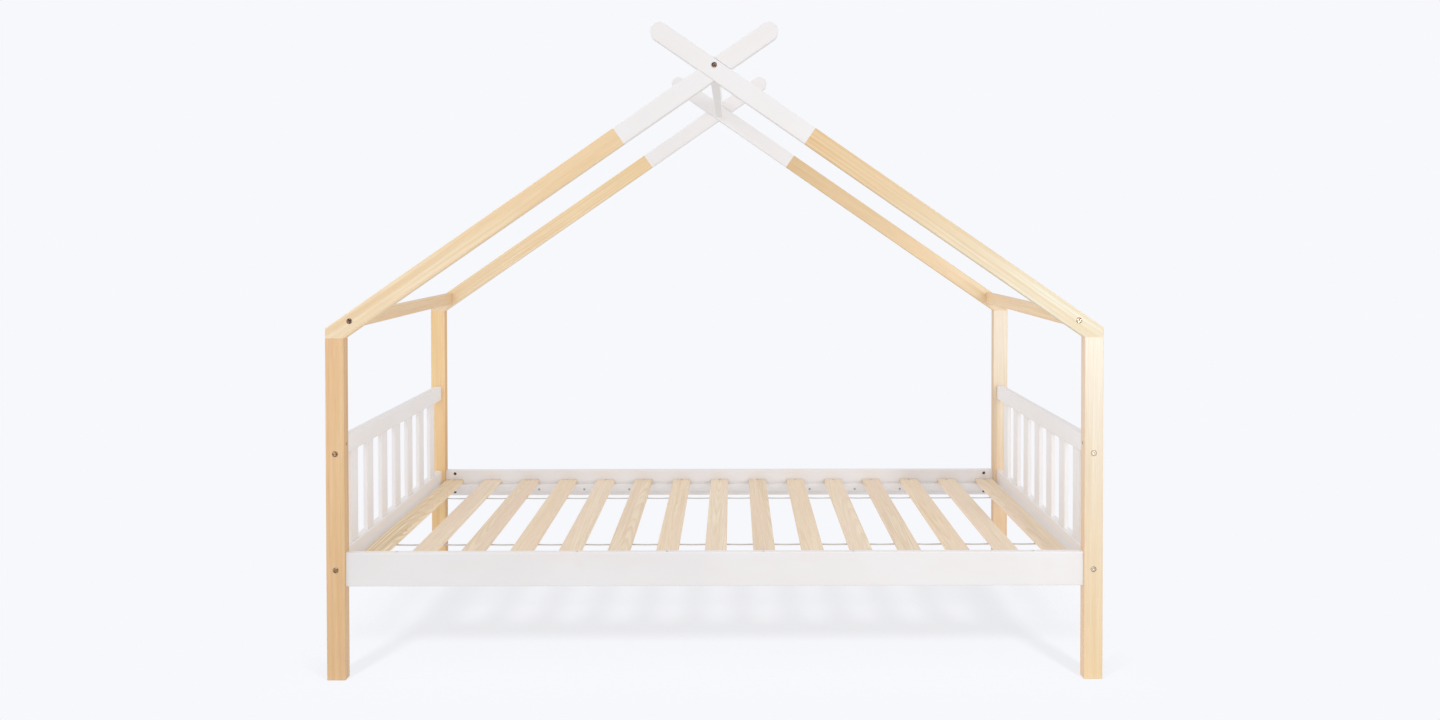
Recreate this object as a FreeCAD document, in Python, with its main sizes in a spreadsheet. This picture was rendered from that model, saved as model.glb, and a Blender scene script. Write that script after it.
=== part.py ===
import FreeCAD, Part
import os
import re

import Sketcher
from FreeCAD import Placement, Rotation, Vector

# A child's house-frame bed, lengths in millimetres.
# X runs along the bed, Y from the open front to the back and Z up; the origin is on the
# floor under the middle of the frame.  Four flat posts carry a pair of crossed rafters at
# the front and another at the back.  Two slatted end panels and two side rails are bolted
# between the posts, and fifteen slats lie on cleats screwed inside the side rails.

# Every driving size: name, value, what it is.
SIZES = [
    ("bed_length", 2000, "over the outer faces of the end posts"),
    ("bed_width", 960, "over the front and back faces of the posts"),
    ("post_width", 49, "post, along the bed"),
    ("post_depth", 29, "post and rafter, across the bed"),
    ("post_height", 883, "floor to the seat of the rafter"),
    ("post_edge", 2.5, "rounding of the long edges of posts and rafters"),
    ("foot_chamfer", 1.5, "bevel round the foot of a post"),
    ("roof_pitch", 34.7, "slope of the roof in degrees"),
    ("rafter_width", 49, "rafter, square to its length"),
    ("rafter_overrun", 140, "middle of the bed to the centre of the round tip"),
    ("lap_clearance", 0.2, "play in the half lap of the crossed rafters"),
    ("ridge_thickness", 24, "ridge beam, along the bed"),
    ("ridge_height", 52, "ridge beam, upright"),
    ("ridge_raise", 11, "middle of the ridge beam above the middle of the crossing"),
    ("eave_thickness", 24, "eave beam, along the bed"),
    ("eave_height", 36, "eave beam, upright"),
    ("eave_inset", 63.5, "outer face of the posts to the middle of the eave beam"),
    ("eave_raise", 4, "middle of the eave beam above the middle of the rafter"),
    ("beam_edge", 2, "rounding of the long edges of the beams"),
    ("rail_level", 241, "floor to the underside of the four boards round the bed"),
    ("rail_height", 88, "height of the four boards round the bed"),
    ("rail_edge", 3, "rounding of the long edges of rails"),
    ("side_rail_thickness", 18, "side rail, across the bed"),
    ("end_rail_thickness", 23, "rails of the end panels, along the bed"),
    ("top_rail_level", 575, "floor to the underside of the top rail"),
    ("top_rail_height", 48, "height of the top rail of an end panel"),
    ("top_rail_corner", 8, "rounding of the top rail's corners, seen from the end"),
    ("spindle_count", 7, "spindles in each end panel"),
    ("spindle_width", 50, "spindle, across the bed"),
    ("spindle_thickness", 12, "spindle, along the bed"),
    ("spindle_edge", 2.5, "rounding of the long edges of a spindle"),
    ("mortise_depth", 12, "how deep a spindle is let into each rail"),
    ("mortise_clearance", 0.2, "play on each side of a spindle in its mortise"),
    ("tenon_gap", 0.5, "play above a spindle in the top rail"),
    ("slat_count", 15, "slats"),
    ("slat_width", 59, "slat, along the bed"),
    ("slat_thickness", 14, "slat, upright"),
    ("slat_edge", 2, "rounding of the long edges of a slat"),
    ("slat_drop", 32, "top of the side rails down to the top of the slats"),
    ("slat_margin", 1.5, "last slat to the inner faces of the posts, along the bed"),
    ("slat_end_gap", 1, "end of a slat to the side rail"),
    ("cleat_depth", 20, "cleat, across the bed"),
    ("cleat_height", 23, "cleat, upright"),
    ("cleat_end_gap", 1, "end of a cleat to the posts"),
    ("cleat_edge", 1.5, "rounding of the long edges of a cleat"),
    ("webbing_width", 12, "webbing under the slats"),
    ("webbing_thickness", 1, "webbing under the slats"),
    ("webbing_spacing", 506, "between the middles of the two webbings"),
    ("webbing_end_margin", 8, "end of a webbing to the outer edge of the last slat"),
    ("bolt_diameter", 6, "shank of a connector bolt"),
    ("bolt_clearance", 0.4, "play round the shank of a bolt"),
    ("bolt_head_diameter", 13, "head of a connector bolt"),
    ("bolt_head_height", 3, "head of a connector bolt, let in flush"),
    ("bolt_head_edge", 0.6, "bevel round the head of a bolt"),
    ("bolt_recess_diameter", 15, "round recess that a bolt's head lies in"),
    ("hex_socket_width", 4, "hexagon socket, across its flats"),
    ("hex_socket_depth", 2.2, "hexagon socket"),
    ("bolt_reach", 8, "bolt past the middle of its barrel nut"),
    ("bolt_end_gap", 1, "end of a bolt to the end of its hole"),
    ("nut_diameter", 10, "barrel nut"),
    ("nut_length", 12, "barrel nut"),
    ("nut_clearance", 0.2, "play round a barrel nut"),
    ("nut_end_gap", 0.5, "end of a barrel nut to the end of its hole"),
    ("nut_setback", 31, "end of a rail or beam to the middle of its barrel nut"),
    ("nut_slot_width", 1.4, "screwdriver slot in a barrel nut"),
    ("nut_slot_depth", 1.5, "screwdriver slot in a barrel nut"),
    ("thread_clearance", 0.1, "play between a bolt and its barrel nut"),
    ("rail_bolt_spacing", 63, "between the two bolts at each end of a side rail"),
    ("top_bolt_drop", 14, "middle of the top rail down to its bolt"),
    ("guard_post_rise", 24, "top rail's bolt up to the spare hole in a front post"),
    ("guard_hole_diameter", 8, "spare holes for a guard rail"),
    ("guard_hole_depth", 25, "spare holes for a guard rail"),
    ("guard_hole_near", 124, "middle of the bed to the nearest spare hole in the front rail"),
    ("guard_hole_middle", 357, "middle of the bed to the second spare hole"),
    ("guard_hole_far", 823, "middle of the bed to the last spare hole"),
    ("dowel_diameter", 8, "dowel between a post and its rafter"),
    ("dowel_length", 40, "dowel between a post and its rafter"),
    ("dowel_clearance", 0.1, "play round a dowel"),
    ("dowel_end_gap", 1, "end of a dowel to the end of its hole"),
    ("dowel_spacing", 22, "between the two dowels of a post"),
    ("screw_diameter", 4, "wood screw"),
    ("screw_head_diameter", 8, "countersunk head of a wood screw"),
    ("screw_clearance", 0.2, "play round a screw"),
    ("screw_end_gap", 1, "end of a screw to the end of its hole"),
    ("screw_tip", 5, "pointed end of a screw"),
    ("countersink_angle", 90, "cone of a screw's head, in degrees"),
    ("slat_screw_length", 25, "screw through a slat into its cleat"),
    ("cleat_screw_length", 30, "screw through a cleat into its side rail"),
    ("cleat_screw_count", 11, "screws in each cleat"),
    ("cleat_screw_spacing", 156, "between two screws of a cleat"),
    ("cleat_screw_rise", 6.5, "underside of a cleat to its screws"),
    ("drive_recess_width", 2.4, "square drive in a screw's head"),
    ("drive_recess_depth", 1.6, "square drive in a screw's head"),
    ("staple_width", 9, "staple over its two legs, along the bed"),
    ("staple_wire", 1, "staple wire"),
    ("staple_crown", 0.6, "thickness of the staple's crown under the webbing"),
    ("staple_length", 7, "legs of a staple"),
    ("staple_clearance", 0.15, "play round the legs of a staple"),
]

doc = FreeCAD.newDocument("house_frame_bed")
sheet = doc.addObject("Spreadsheet::Sheet", "sizes")
for row, (alias, amount, note) in enumerate(SIZES, start=1):
    sheet.set(f"A{row}", alias)
    sheet.set(f"B{row}", str(amount))
    sheet.setAlias(f"B{row}", alias)
    sheet.set(f"C{row}", note)
doc.recompute()

# Places worked out from the sizes, as expressions.
POST_X = "((bed_length - post_width) / 2)"
POST_Y = "((bed_width - post_depth) / 2)"
BAY_X = "(bed_length / 2 - post_width)"
BAY_Y = "(bed_width / 2 - post_depth)"
RAIL_MIDDLE = "(rail_level + rail_height / 2)"
TOP_RAIL_MIDDLE = "(top_rail_level + top_rail_height / 2)"
TOP_BOLT_LEVEL = f"({TOP_RAIL_MIDDLE} - top_bolt_drop)"
SIDE_FACE_Y = f"({POST_Y} - side_rail_thickness / 2)"
SLAT_TOP = "(rail_level + rail_height - slat_drop)"
CLEAT_TOP = f"({SLAT_TOP} - slat_thickness)"
CLEAT_Y = f"({SIDE_FACE_Y} - cleat_depth / 2)"
CLEAT_HALF = f"({BAY_X} - cleat_end_gap)"
SLAT_FIELD = f"({BAY_X} - slat_margin - slat_width / 2)"
SLAT_PITCH = f"(2 * {SLAT_FIELD} / (slat_count - 1))"
SPINDLE_PITCH = f"((2 * {BAY_Y} + spindle_width) / (spindle_count + 1))"
SPINDLE_FIELD = f"({SPINDLE_PITCH} * (spindle_count - 1) / 2)"
SPINDLE_FOOT = "(rail_level + rail_height - mortise_depth)"
SPINDLE_LENGTH = f"(top_rail_level + mortise_depth - tenon_gap - {SPINDLE_FOOT})"
SCREW_FIELD = "(cleat_screw_spacing * (cleat_screw_count - 1) / 2)"
CLEAT_SCREW_LEVEL = f"({CLEAT_TOP} - cleat_height + cleat_screw_rise)"
WEBBING_Y = "(webbing_spacing / 2)"
BOLT_HOLE = "(bolt_diameter + 2 * bolt_clearance)"
BOLT_HOLE_DEPTH = "(nut_setback + bolt_reach + bolt_end_gap)"
NUT_HOLE = "(nut_diameter + 2 * nut_clearance)"
SCREW_HOLE = "(screw_diameter + 2 * screw_clearance)"
SCREW_HEAD_HOLE = "(screw_head_diameter + 2 * screw_clearance)"
DOWEL_HOLE = "(dowel_diameter + 2 * dowel_clearance)"
DOWEL_HOLE_DEPTH = "(dowel_length / 2 + dowel_end_gap)"
PLUMB_WIDTH = "(rafter_width / cos(roof_pitch))"
RAFTER_RUN = (
    "((bed_length / 2 + rafter_overrun - post_width + sin(roof_pitch) * rafter_width / 2)"
    " / cos(roof_pitch))"
)


def rafter_middle(inset):
    """Level of the rafter's middle line at a place measured in from the outer face."""
    return f"(post_height + tan(roof_pitch) * ({inset} - post_width) + {PLUMB_WIDTH} / 2)"


CROSSING_LEVEL = rafter_middle("bed_length / 2")
RIDGE_LEVEL = f"({CROSSING_LEVEL} + ridge_raise)"
EAVE_X = "(bed_length / 2 - eave_inset)"
EAVE_LEVEL = f"({rafter_middle('eave_inset')} + eave_raise)"

# How each face of a piece is drawn on: its origin plane, and whether the face looks along
# the plane's negative normal.
FACES = {
    "top": ("XY_Plane", False),
    "bottom": ("XY_Plane", True),
    "front": ("XZ_Plane", False),
    "back": ("XZ_Plane", True),
    "right": ("YZ_Plane", False),
    "left": ("YZ_Plane", True),
}

NODES = []

# A length or volume too small to matter, and how nearly parallel an edge has to be.
TINY = 0.001
PARALLEL = 0.999


def cells(text):
    """The expression with each size's name pointed at the sheet."""
    return re.sub(r"[a-z]+(?:_[a-z]+)+", r"sizes.\g<0>", text)


def value(text):
    """What an expression of sizes comes to."""
    return float(sheet.evalExpression(cells(text)))


def whole(text):
    """The same, as a count."""
    return int(round(value(text)))


def new_body(name, x="0", y="0", z="0"):
    """A body with its own label, placed by expressions."""
    body = doc.addObject("PartDesign::Body", name)
    body.Label = name
    for axis, text in (("x", x), ("y", y), ("z", z)):
        body.setExpression(f"Placement.Base.{axis}", cells(text))
    return body


def draw(body, plane, offset="0", loops=(), circles=(), tip=None):
    """A fully dimensioned sketch: closed outlines of corners, and circles.

    With tip, the run from that corner to the next is a half circle, tangent to the run
    before it, that swells to the right of the way the outline goes.
    """
    sketch = body.newObject("Sketcher::SketchObject", f"{body.Name}_sketch")
    support = [part for part in body.Origin.OriginFeatures if part.Role == plane][0]
    sketch.AttachmentSupport = (support, [""])
    sketch.MapMode = "FlatFace"
    sketch.setExpression("AttachmentOffset.Base.z", cells(offset))

    def fix(kind, geometry, position, text):
        number = Sketcher.Constraint(kind, -1, 1, geometry, position, value(text))
        index = sketch.addConstraint(number)
        sketch.setExpression(f"Constraints[{index}]", cells(text))

    for corners in loops:
        first = sketch.GeometryCount
        places = [Vector(value(x), value(y), 0) for x, y in corners]
        following = places[1:] + places[:1]
        for index, (start, end) in enumerate(zip(places, following)):
            if tip == index:
                outward = (end - start).cross(Vector(0, 0, 1))
                crown = (start + end + outward) / 2
                sketch.addGeometry(Part.Arc(start, crown, end), False)
            else:
                sketch.addGeometry(Part.LineSegment(start, end), False)
        for index, (x, y) in enumerate(corners):
            this = first + index
            after = first + (index + 1) % len(corners)
            meeting = "Tangent" if tip == index + 1 else "Coincident"
            sketch.addConstraint(Sketcher.Constraint(meeting, this, 2, after, 1))
            fix("DistanceX", this, 1, x)
            fix("DistanceY", this, 1, y)
    for x, y, diameter in circles:
        middle = Vector(value(x), value(y), 0)
        circle = Part.Circle(middle, Vector(0, 0, 1), value(diameter) / 2)
        this = sketch.addGeometry(circle, False)
        fix("DistanceX", this, 3, x)
        fix("DistanceY", this, 3, y)
        index = sketch.addConstraint(Sketcher.Constraint("Diameter", this, value(diameter)))
        sketch.setExpression(f"Constraints[{index}]", cells(diameter))
    return sketch


def box_corners(x, y, width, height):
    """The four corners of an upright rectangle round a middle."""
    left = f"({x}) - ({width}) / 2"
    right = f"({x}) + ({width}) / 2"
    low = f"({y}) - ({height}) / 2"
    high = f"({y}) + ({height}) / 2"
    return [(left, low), (right, low), (right, high), (left, high)]


def pad(body, sketch, length, middle=True):
    """Thicken a sketch, to both sides of its plane or along its normal."""
    feature = body.newObject("PartDesign::Pad", f"{body.Name}_pad")
    feature.Profile = sketch
    feature.Midplane = middle
    feature.setExpression("Length", cells(length))
    doc.recompute()
    return feature


def cut(body, face, distance, depth, loops=(), circles=()):
    """Cut outlines or round holes into the face that lies at a distance from the middle."""
    plane, backwards = FACES[face]
    offset = f"-({distance})" if backwards else distance
    feature = body.newObject("PartDesign::Pocket", f"{body.Name}_cut")
    feature.Profile = draw(body, plane, offset, loops, circles)
    feature.Reversed = backwards
    feature.setExpression("Length", cells(depth))
    body.Tip = feature
    return feature


def screw_holes(body, face, distance, centres, depth):
    """Countersunk screw holes into a face."""
    plane, backwards = FACES[face]
    offset = f"-({distance})" if backwards else distance
    sketch = draw(body, plane, offset, circles=[(x, y, SCREW_HOLE) for x, y in centres])
    doc.recompute()
    feature = body.newObject("PartDesign::Hole", f"{body.Name}_screw_hole")
    feature.Profile = sketch
    feature.Reversed = backwards
    feature.Threaded = False
    feature.DepthType = "Dimension"
    feature.setExpression("Diameter", cells(SCREW_HOLE))
    feature.setExpression("Depth", cells(depth))
    feature.HoleCutType = "Countersink"
    feature.setExpression("HoleCutCountersinkAngle", cells("countersink_angle"))
    feature.setExpression("HoleCutDiameter", cells(SCREW_HEAD_HOLE))
    body.Tip = feature
    doc.recompute()
    return feature


def repeat(body, feature, axis, count, length):
    """A row of a cut, along its sketch's H_Axis or V_Axis."""
    row = body.newObject("PartDesign::LinearPattern", f"{body.Name}_row")
    row.Originals = [feature]
    row.Direction = (feature.Profile[0], [axis])
    row.setExpression("Occurrences", cells(count))
    row.setExpression("Length", cells(length))
    body.Tip = row
    return row


def runs_along(direction):
    """A test for straight edges along a direction."""
    def test(edge):
        if edge.Curve.TypeId != "Part::GeomLine":
            return False
        return abs(edge.tangentAt(edge.FirstParameter).dot(direction)) > PARALLEL
    return test


def ease(body, test, size, kind="Fillet"):
    """Round or bevel the edges of the body that pass a test."""
    doc.recompute()
    base = body.Tip
    names = [f"Edge{i + 1}" for i, edge in enumerate(base.Shape.Edges) if test(edge)]
    feature = body.newObject(f"PartDesign::{kind}", f"{body.Name}_{kind.lower()}")
    feature.Base = (base, names)
    feature.setExpression("Radius" if kind == "Fillet" else "Size", cells(size))
    body.Tip = feature
    return feature


def bar(name, axis, section, length, edge, **place):
    """A straight bar along one axis: section is its size along the sketch's two axes."""
    plane = {"x": "YZ_Plane", "y": "XZ_Plane", "z": "XY_Plane"}[axis]
    direction = {"x": Vector(1, 0, 0), "y": Vector(0, 1, 0), "z": Vector(0, 0, 1)}[axis]
    body = new_body(name, **place)
    outline = box_corners("0", "0", section[0], section[1])
    pad(body, draw(body, plane, loops=[outline]), length)
    ease(body, runs_along(direction), edge)
    return body


def keep(body):
    """Count a body among the pieces that are written out."""
    NODES.append(body)
    return body


def copies(name, master, places):
    """A node of identical fasteners: the master's shape at each place."""
    doc.recompute()
    solids = []
    for place in places:
        solid = master.Shape.copy()
        solid.Placement = place
        solids.append(solid)
    node = doc.addObject("Part::Feature", name)
    node.Label = name
    node.Shape = Part.makeCompound(solids)
    node.Placement = Placement()
    return keep(node)


def facing(x, y, z, outward):
    """A placement whose own +Z looks outward."""
    return Placement(Vector(x, y, z), Rotation(Vector(0, 0, 1), outward))


def sides():
    """The two ends of the bed and its two long sides: name and sign."""
    for end, end_sign in (("left", -1), ("right", 1)):
        for side, side_sign in (("front", -1), ("rear", 1)):
            yield end, end_sign, side, side_sign


# The face of a piece that looks into the bed from each end, and the two that look out of it
# and into it from each long side.
INNER_END = {"left": "right", "right": "left"}
OUTER_SIDE = {"front": "front", "rear": "back"}
INNER_SIDE = {"front": "back", "rear": "front"}


def make_post(end, end_sign, side, side_sign):
    """A flat upright with its bolt, dowel and spare holes."""
    body = new_body(
        f"post_{side}_{end}",
        x=f"{end_sign} * {POST_X}",
        y=f"{side_sign} * {POST_Y}",
    )
    outline = box_corners("0", "0", "post_width", "post_depth")
    pad(body, draw(body, "XY_Plane", loops=[outline]), "post_height", middle=False)
    ease(body, runs_along(Vector(0, 0, 1)), "post_edge")
    ease(body, lambda edge: edge.BoundBox.ZMax < TINY, "foot_chamfer", "Chamfer")

    panel_levels = [RAIL_MIDDLE, TOP_BOLT_LEVEL]
    rail_levels = [f"{RAIL_MIDDLE} + {sign} * rail_bolt_spacing / 2" for sign in (-1, 1)]
    outer_side = OUTER_SIDE[side]
    shank = [("0", level, BOLT_HOLE) for level in panel_levels]
    recess = [("0", level, "bolt_recess_diameter") for level in panel_levels]
    cut(body, outer_side, "post_depth / 2", "post_depth", circles=shank)
    cut(body, outer_side, "post_depth / 2", "bolt_head_height", circles=recess)

    shank = [("0", level, BOLT_HOLE) for level in rail_levels]
    recess = [("0", level, "bolt_recess_diameter") for level in rail_levels]
    cut(body, end, "post_width / 2", "post_width", circles=shank)
    cut(body, end, "post_width / 2", "bolt_head_height", circles=recess)

    if side == "front":
        spare = [("0", f"{TOP_BOLT_LEVEL} + guard_post_rise", "guard_hole_diameter")]
        cut(body, INNER_END[end], "post_width / 2", "guard_hole_depth", circles=spare)
    dowels = [(f"{sign} * dowel_spacing / 2", "0", DOWEL_HOLE) for sign in (-1, 1)]
    cut(body, "top", "post_height", DOWEL_HOLE_DEPTH, circles=dowels)
    return keep(body)


def make_rafter(end, end_sign, side, side_sign):
    """A rafter from its post to the round tip past the crossing.

    Its outline is drawn where it stands, X from the middle of the bed and Z from the floor.
    """
    body = new_body(f"rafter_{side}_{end}", y=f"{side_sign} * {POST_Y}")
    along = "cos(roof_pitch)"
    rise = "sin(roof_pitch)"

    def inward(distance):
        return f"{end_sign} * (bed_length / 2 - ({distance}))"

    low_run = f"post_width + {RAFTER_RUN} * {along}"
    low_rise = f"post_height + {RAFTER_RUN} * {rise}"
    heel = f"post_height + {PLUMB_WIDTH} - tan(roof_pitch) * post_width"
    outline = [
        (inward("0"), "post_height"),
        (inward("post_width"), "post_height"),
        (inward(low_run), low_rise),
        (inward(f"{low_run} - rafter_width * {rise}"), f"{low_rise} + rafter_width * {along}"),
        (inward("0"), heel),
    ]
    tip = 2
    if end_sign > 0:
        outline = outline[::-1]
        tip = 1
    sketch = draw(body, "XZ_Plane", loops=[outline], tip=tip)
    pad(body, sketch, "post_depth")

    seat = value("post_height")

    def on_a_face(edge):
        flat = edge.BoundBox.YLength < TINY
        return flat and edge.BoundBox.ZMax > seat + TINY

    ease(body, on_a_face, "post_edge")

    # The half lap: the rafters of the left end lose their front half at the crossing and
    # those of the right end their back half.
    other = (f"{end_sign} * {along}", rise)
    square = (f"{end_sign} * -({rise})", along)
    corners = []
    for far, near in ((-1, -1), (1, -1), (1, 1), (-1, 1)):
        reach = f"{far} * rafter_width"
        half = f"{near} * (rafter_width / 2 + lap_clearance)"
        x = f"({reach}) * ({other[0]}) + ({half}) * ({square[0]})"
        z = f"{CROSSING_LEVEL} + ({reach}) * ({other[1]}) + ({half}) * ({square[1]})"
        corners.append((x, z))
    lapped = "front" if end == "left" else "back"
    depth = "(post_depth + lap_clearance) / 2"
    cut(body, lapped, "post_depth / 2", depth, loops=[corners])

    outer = OUTER_SIDE[side]
    eave = (f"{end_sign} * {EAVE_X}", EAVE_LEVEL)
    ridge = ("0", RIDGE_LEVEL)
    shank = [(*eave, BOLT_HOLE), (*ridge, BOLT_HOLE)]
    cut(body, outer, "post_depth / 2", "post_depth", circles=shank)
    heads = [(*eave, "bolt_recess_diameter")]
    if lapped != outer:
        heads.append((*ridge, "bolt_recess_diameter"))
    cut(body, outer, "post_depth / 2", "bolt_head_height", circles=heads)

    dowels = []
    for sign in (-1, 1):
        x = f"{end_sign} * {POST_X} + {sign} * dowel_spacing / 2"
        dowels.append((x, "0", DOWEL_HOLE))
    cut(body, "bottom", "-post_height", DOWEL_HOLE_DEPTH, circles=dowels)
    return keep(body)


def bolt_ends(body, faces, half, height):
    """A bolt's hole into each end of a bar, at a height on the bar's middle line."""
    for face in faces:
        cut(body, face, half, BOLT_HOLE_DEPTH, circles=[("0", height, BOLT_HOLE)])


def nut_holes(body, face, thickness, half, heights):
    """The barrel nuts' holes near both ends of a bar, square to its bolts."""
    holes = []
    for sign in (-1, 1):
        for height in heights:
            holes.append((f"{sign} * ({half} - nut_setback)", height, NUT_HOLE))
    depth = f"({thickness} + nut_length) / 2 + nut_end_gap"
    cut(body, face, f"{thickness} / 2", depth, circles=holes)


def make_beam(name, thickness, height, nut_face, x, z):
    """A beam between the front and back rafters."""
    body = bar(name, "y", (thickness, height), f"2 * {BAY_Y}", "beam_edge", x=x, z=z)
    bolt_ends(body, ("front", "back"), BAY_Y, "0")
    nut_holes(body, nut_face, thickness, BAY_Y, ["0"])
    return keep(body)


def mortises(body, face, height):
    """A row of mortises for the spindles in the edge of a rail."""
    width = "spindle_thickness + 2 * mortise_clearance"
    length = "spindle_width + 2 * mortise_clearance"
    first = box_corners("0", f"-({SPINDLE_FIELD})", width, length)
    hole = cut(body, face, f"{height} / 2", "mortise_depth", loops=[first])
    repeat(body, hole, "V_Axis", "spindle_count", f"2 * {SPINDLE_FIELD}")


def make_low_rail(end, end_sign):
    """The bottom rail of an end panel."""
    body = bar(
        f"end_low_rail_{end}",
        "y",
        ("end_rail_thickness", "rail_height"),
        f"2 * {BAY_Y}",
        "rail_edge",
        x=f"{end_sign} * {POST_X}",
        z=RAIL_MIDDLE,
    )
    bolt_ends(body, ("front", "back"), BAY_Y, "0")
    nut_holes(body, end, "end_rail_thickness", BAY_Y, ["0"])
    mortises(body, "top", "rail_height")
    return keep(body)


def make_top_rail(end, end_sign):
    """The top rail of an end panel, with rounded corners."""
    body = new_body(f"end_top_rail_{end}", x=f"{end_sign} * {POST_X}", z=TOP_RAIL_MIDDLE)
    outline = box_corners("0", "0", "end_rail_thickness", "top_rail_height")
    pad(body, draw(body, "XZ_Plane", loops=[outline]), f"2 * {BAY_Y}")
    ease(body, runs_along(Vector(1, 0, 0)), "top_rail_corner")
    doc.recompute()
    half = value("end_rail_thickness") / 2

    def on_a_face(edge):
        return edge.BoundBox.XLength < TINY and abs(abs(edge.CenterOfMass.x) - half) < TINY

    ease(body, on_a_face, "rail_edge")
    bolt_ends(body, ("front", "back"), BAY_Y, "-top_bolt_drop")
    nut_holes(body, end, "end_rail_thickness", BAY_Y, ["-top_bolt_drop"])
    mortises(body, "bottom", "top_rail_height")
    return keep(body)


def make_spindle(end, end_sign, number):
    """One flat upright of an end panel, let into both rails."""
    return keep(bar(
        f"spindle_{end}_{number + 1}",
        "z",
        ("spindle_thickness", "spindle_width"),
        SPINDLE_LENGTH,
        "spindle_edge",
        x=f"{end_sign} * {POST_X}",
        y=f"{number} * {SPINDLE_PITCH} - {SPINDLE_FIELD}",
        z=f"{SPINDLE_FOOT} + {SPINDLE_LENGTH} / 2",
    ))


def make_side_rail(side, side_sign):
    """A side rail between two posts."""
    body = bar(
        f"side_rail_{side}",
        "x",
        ("side_rail_thickness", "rail_height"),
        f"2 * {BAY_X}",
        "rail_edge",
        y=f"{side_sign} * {POST_Y}",
        z=RAIL_MIDDLE,
    )
    heights = [f"{sign} * rail_bolt_spacing / 2" for sign in (-1, 1)]
    for height in heights:
        bolt_ends(body, ("left", "right"), BAY_X, height)
    inner = INNER_SIDE[side]
    nut_holes(body, inner, "side_rail_thickness", BAY_X, heights)
    level = f"{CLEAT_SCREW_LEVEL} - {RAIL_MIDDLE}"
    first = [(f"-{SCREW_FIELD}", level, SCREW_HOLE)]
    depth = "cleat_screw_length - cleat_depth + screw_end_gap"
    hole = cut(body, inner, "side_rail_thickness / 2", depth, circles=first)
    repeat(body, hole, "H_Axis", "cleat_screw_count", f"2 * {SCREW_FIELD}")
    if side == "front":
        spare = []
        for place in ("guard_hole_near", "guard_hole_middle", "guard_hole_far"):
            for sign in (-1, 1):
                spare.append((f"{sign} * {place}", "0", "guard_hole_diameter"))
        cut(body, "top", "rail_height / 2", "guard_hole_depth", circles=spare)
    return keep(body)


def make_cleat(side, side_sign):
    """The strip inside a side rail that carries the slats."""
    body = bar(
        f"slat_cleat_{side}",
        "x",
        ("cleat_depth", "cleat_height"),
        f"2 * {CLEAT_HALF}",
        "cleat_edge",
        y=f"{side_sign} * {CLEAT_Y}",
        z=f"{CLEAT_TOP} - cleat_height / 2",
    )
    first = [(f"-{SLAT_FIELD}", "0", SCREW_HOLE)]
    depth = "slat_screw_length - slat_thickness + screw_end_gap"
    hole = cut(body, "top", "cleat_height / 2", depth, circles=first)
    repeat(body, hole, "H_Axis", "slat_count", f"2 * {SLAT_FIELD}")
    doc.recompute()
    level = "cleat_screw_rise - cleat_height / 2"
    inner = INNER_SIDE[side]
    first = [(f"-{SCREW_FIELD}", level)]
    hole = screw_holes(body, inner, "cleat_depth / 2", first, "cleat_depth + screw_end_gap")
    repeat(body, hole, "H_Axis", "cleat_screw_count", f"2 * {SCREW_FIELD}")
    return keep(body)


def staple_slots(x, y):
    """The two small slots of one staple's legs."""
    size = "staple_wire + 2 * staple_clearance"
    slots = []
    for sign in (-1, 1):
        place = f"({x}) + {sign} * (staple_width - staple_wire) / 2"
        slots.append(box_corners(place, y, size, size))
    return slots


def make_slat(number):
    """One slat, screwed down at both ends and stapled to two webbings."""
    half = f"({SIDE_FACE_Y} - slat_end_gap)"
    body = bar(
        f"slat_{number + 1:02d}",
        "y",
        ("slat_width", "slat_thickness"),
        f"2 * {half}",
        "slat_edge",
        x=f"{number} * {SLAT_PITCH} - {SLAT_FIELD}",
        z=f"{SLAT_TOP} - slat_thickness / 2",
    )
    ends = [("0", f"{sign} * {CLEAT_Y}") for sign in (-1, 1)]
    through = "slat_thickness + screw_end_gap"
    screw_holes(body, "top", "slat_thickness / 2", ends, through)
    slots = []
    for sign in (-1, 1):
        slots += staple_slots("0", f"{sign} * {WEBBING_Y}")
    depth = "staple_length - webbing_thickness + staple_clearance"
    cut(body, "bottom", "slat_thickness / 2", depth, loops=slots)
    return keep(body)


def make_webbing(side, side_sign):
    """A tape under the slats that keeps them apart."""
    body = new_body(
        f"webbing_{side}",
        y=f"{side_sign} * {WEBBING_Y}",
        z=f"{CLEAT_TOP} - webbing_thickness",
    )
    length = f"2 * ({SLAT_FIELD} + slat_width / 2 - webbing_end_margin)"
    outline = box_corners("0", "0", length, "webbing_width")
    pad(body, draw(body, "XY_Plane", loops=[outline]), "webbing_thickness", middle=False)
    first = staple_slots(f"-{SLAT_FIELD}", "0")
    slots = cut(body, "top", "webbing_thickness", "webbing_thickness", loops=first)
    repeat(body, slots, "H_Axis", "slat_count", f"2 * {SLAT_FIELD}")
    return keep(body)


def turned(name, profile):
    """A round piece: a profile drawn beside its own axis and turned round it."""
    body = new_body(name)
    feature = body.newObject("PartDesign::Revolution", f"{name}_turn")
    sketch = draw(body, "XZ_Plane", loops=[profile])
    feature.Profile = sketch
    feature.ReferenceAxis = (sketch, ["V_Axis"])
    feature.Angle = 360
    body.Tip = feature
    doc.recompute()
    return body


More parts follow.
